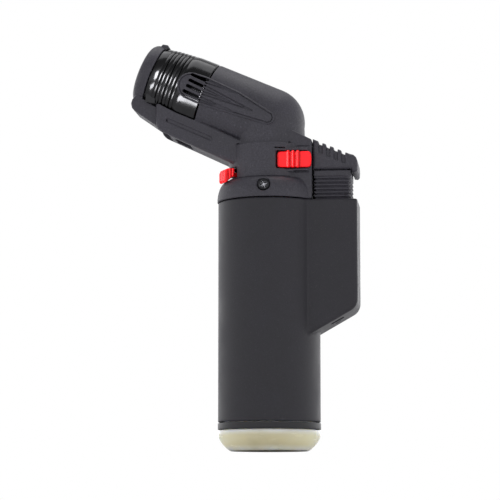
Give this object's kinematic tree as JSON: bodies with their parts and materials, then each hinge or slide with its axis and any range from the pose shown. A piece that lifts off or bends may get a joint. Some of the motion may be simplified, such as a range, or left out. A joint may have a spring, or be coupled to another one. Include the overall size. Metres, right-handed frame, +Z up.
{
  "type": "butane torch",
  "caption": "Handheld jet torch with an angled head: gas tank in a finned sleeve, burner with flip cap, push trigger, safety slider and flame lever.",
  "frame": {"origin": "centre of the flat underside of the tank, on the surface the torch stands on", "axes": "+Z up along the tank's axis, -X towards the nozzle, +X towards the trigger and fin, -Y towards the side with the safety slider"},
  "size_m": [0.0855, 0.0388, 0.1536],
  "materials": {
    "soft_black": "soft-touch rubberised coating, very fine grain",
    "textured_black": "spark-eroded moulded texture",
    "black_plastic": "satin moulded plastic",
    "black_nickel": "black nickel plating, near mirror",
    "black_steel": "black oxide, semi-gloss",
    "steel": "drawn and stamped steel",
    "brass": "turned brass",
    "red_plastic": "satin moulded plastic",
    "red_rubber": "wire insulation",
    "black_rubber": "matt rubber",
    "ceramic": "unglazed white ceramic",
    "pale_plastic": "natural nylon",
    "wick_fibre": "bonded fibre",
    "olive_tank": "translucent moulded plastic, satin"
  },
  "bodies": {
    "torch_body": {"base_ring": "black_plastic", "burner_collar": "ceramic", "burner_tube": "steel", "cap_hinge_pin": "steel", "cap_spring": "steel", "electrode": "steel", "electrode_insulator": "ceramic", "fill_valve_body": "brass", "fill_valve_seal": "black_rubber", "fill_valve_spring": "steel", "flame_disc": "ceramic", "fuel_tank": "olive_tank", "gas_hose": "black_rubber", "gas_jet": "brass", "housing_far": "textured_black", "housing_near": "textured_black", "housing_screw_far": "black_steel", "housing_screw_near": "black_steel", "ignition_wire": "red_rubber", "lever_pin": "steel", "lock_detent_spring": "steel", "nozzle_sleeve": "black_nickel", "outlet_valve_body": "brass", "outlet_valve_spring": "steel", "piezo_body": "pale_plastic", "tank_lid": "black_plastic", "tank_sleeve": "soft_black", "trigger_spring": "steel", "wick": "wick_fibre"},
    "trigger": {"trigger_button": "textured_black", "trigger_slide": "textured_black", "piezo_plunger": "pale_plastic"},
    "valve_lever": {"valve_lever": "steel"},
    "outlet_stem": {"outlet_valve_stem": "brass"},
    "flame_lever": {"flame_lever": "red_plastic"},
    "lock_slider": {"lock_slider": "red_plastic"},
    "flip_cap": {"flip_cap": "textured_black"},
    "fill_stem": {"fill_valve_stem": "brass"}
  },
  "joints": [
    {"name": "trigger_slide", "type": "slide", "parent": "torch_body", "child": "trigger", "axis": [0, 0, -1], "range_m": [0, 0.007], "stiffness_N_per_m": 2500, "springref_m": -0.003, "deforming": ["trigger_spring"]},
    {"name": "valve_lever_pivot", "type": "hinge", "parent": "torch_body", "child": "valve_lever", "pos_m": [0.008, 0, 0.1085], "axis": [0, 1, 0], "range_deg": [0, 8.1]},
    {"name": "outlet_stem_lift", "type": "slide", "parent": "torch_body", "child": "outlet_stem", "axis": [0, 0, 1], "range_m": [0, 0.00125], "deforming": ["outlet_valve_spring", "gas_hose"]},
    {"name": "flame_lever_turn", "type": "hinge", "parent": "torch_body", "child": "flame_lever", "pos_m": [0, 0, 0.102], "axis": [0, 0, -1], "range_deg": [0, 56]},
    {"name": "lock_slide", "type": "slide", "parent": "torch_body", "child": "lock_slider", "axis": [1, 0, 0], "range_m": [0, 0.003]},
    {"name": "cap_hinge", "type": "hinge", "parent": "torch_body", "child": "flip_cap", "pos_m": [-0.0388, 0, 0.12292], "axis": [0, -1, 0], "range_deg": [0, 100]},
    {"name": "fill_stem_push", "type": "slide", "parent": "torch_body", "child": "fill_stem", "axis": [0, 0, 1], "range_m": [0, 0.0015], "stiffness_N_per_m": 800, "springref_m": -0.001, "deforming": ["fill_valve_spring"]}
  ],
  "couplings": [
    {"joint": "valve_lever_pivot", "follows": "trigger_slide", "rad_per_m": 19.947},
    {"joint": "outlet_stem_lift", "follows": "trigger_slide", "ratio": 0.17143}
  ]
}
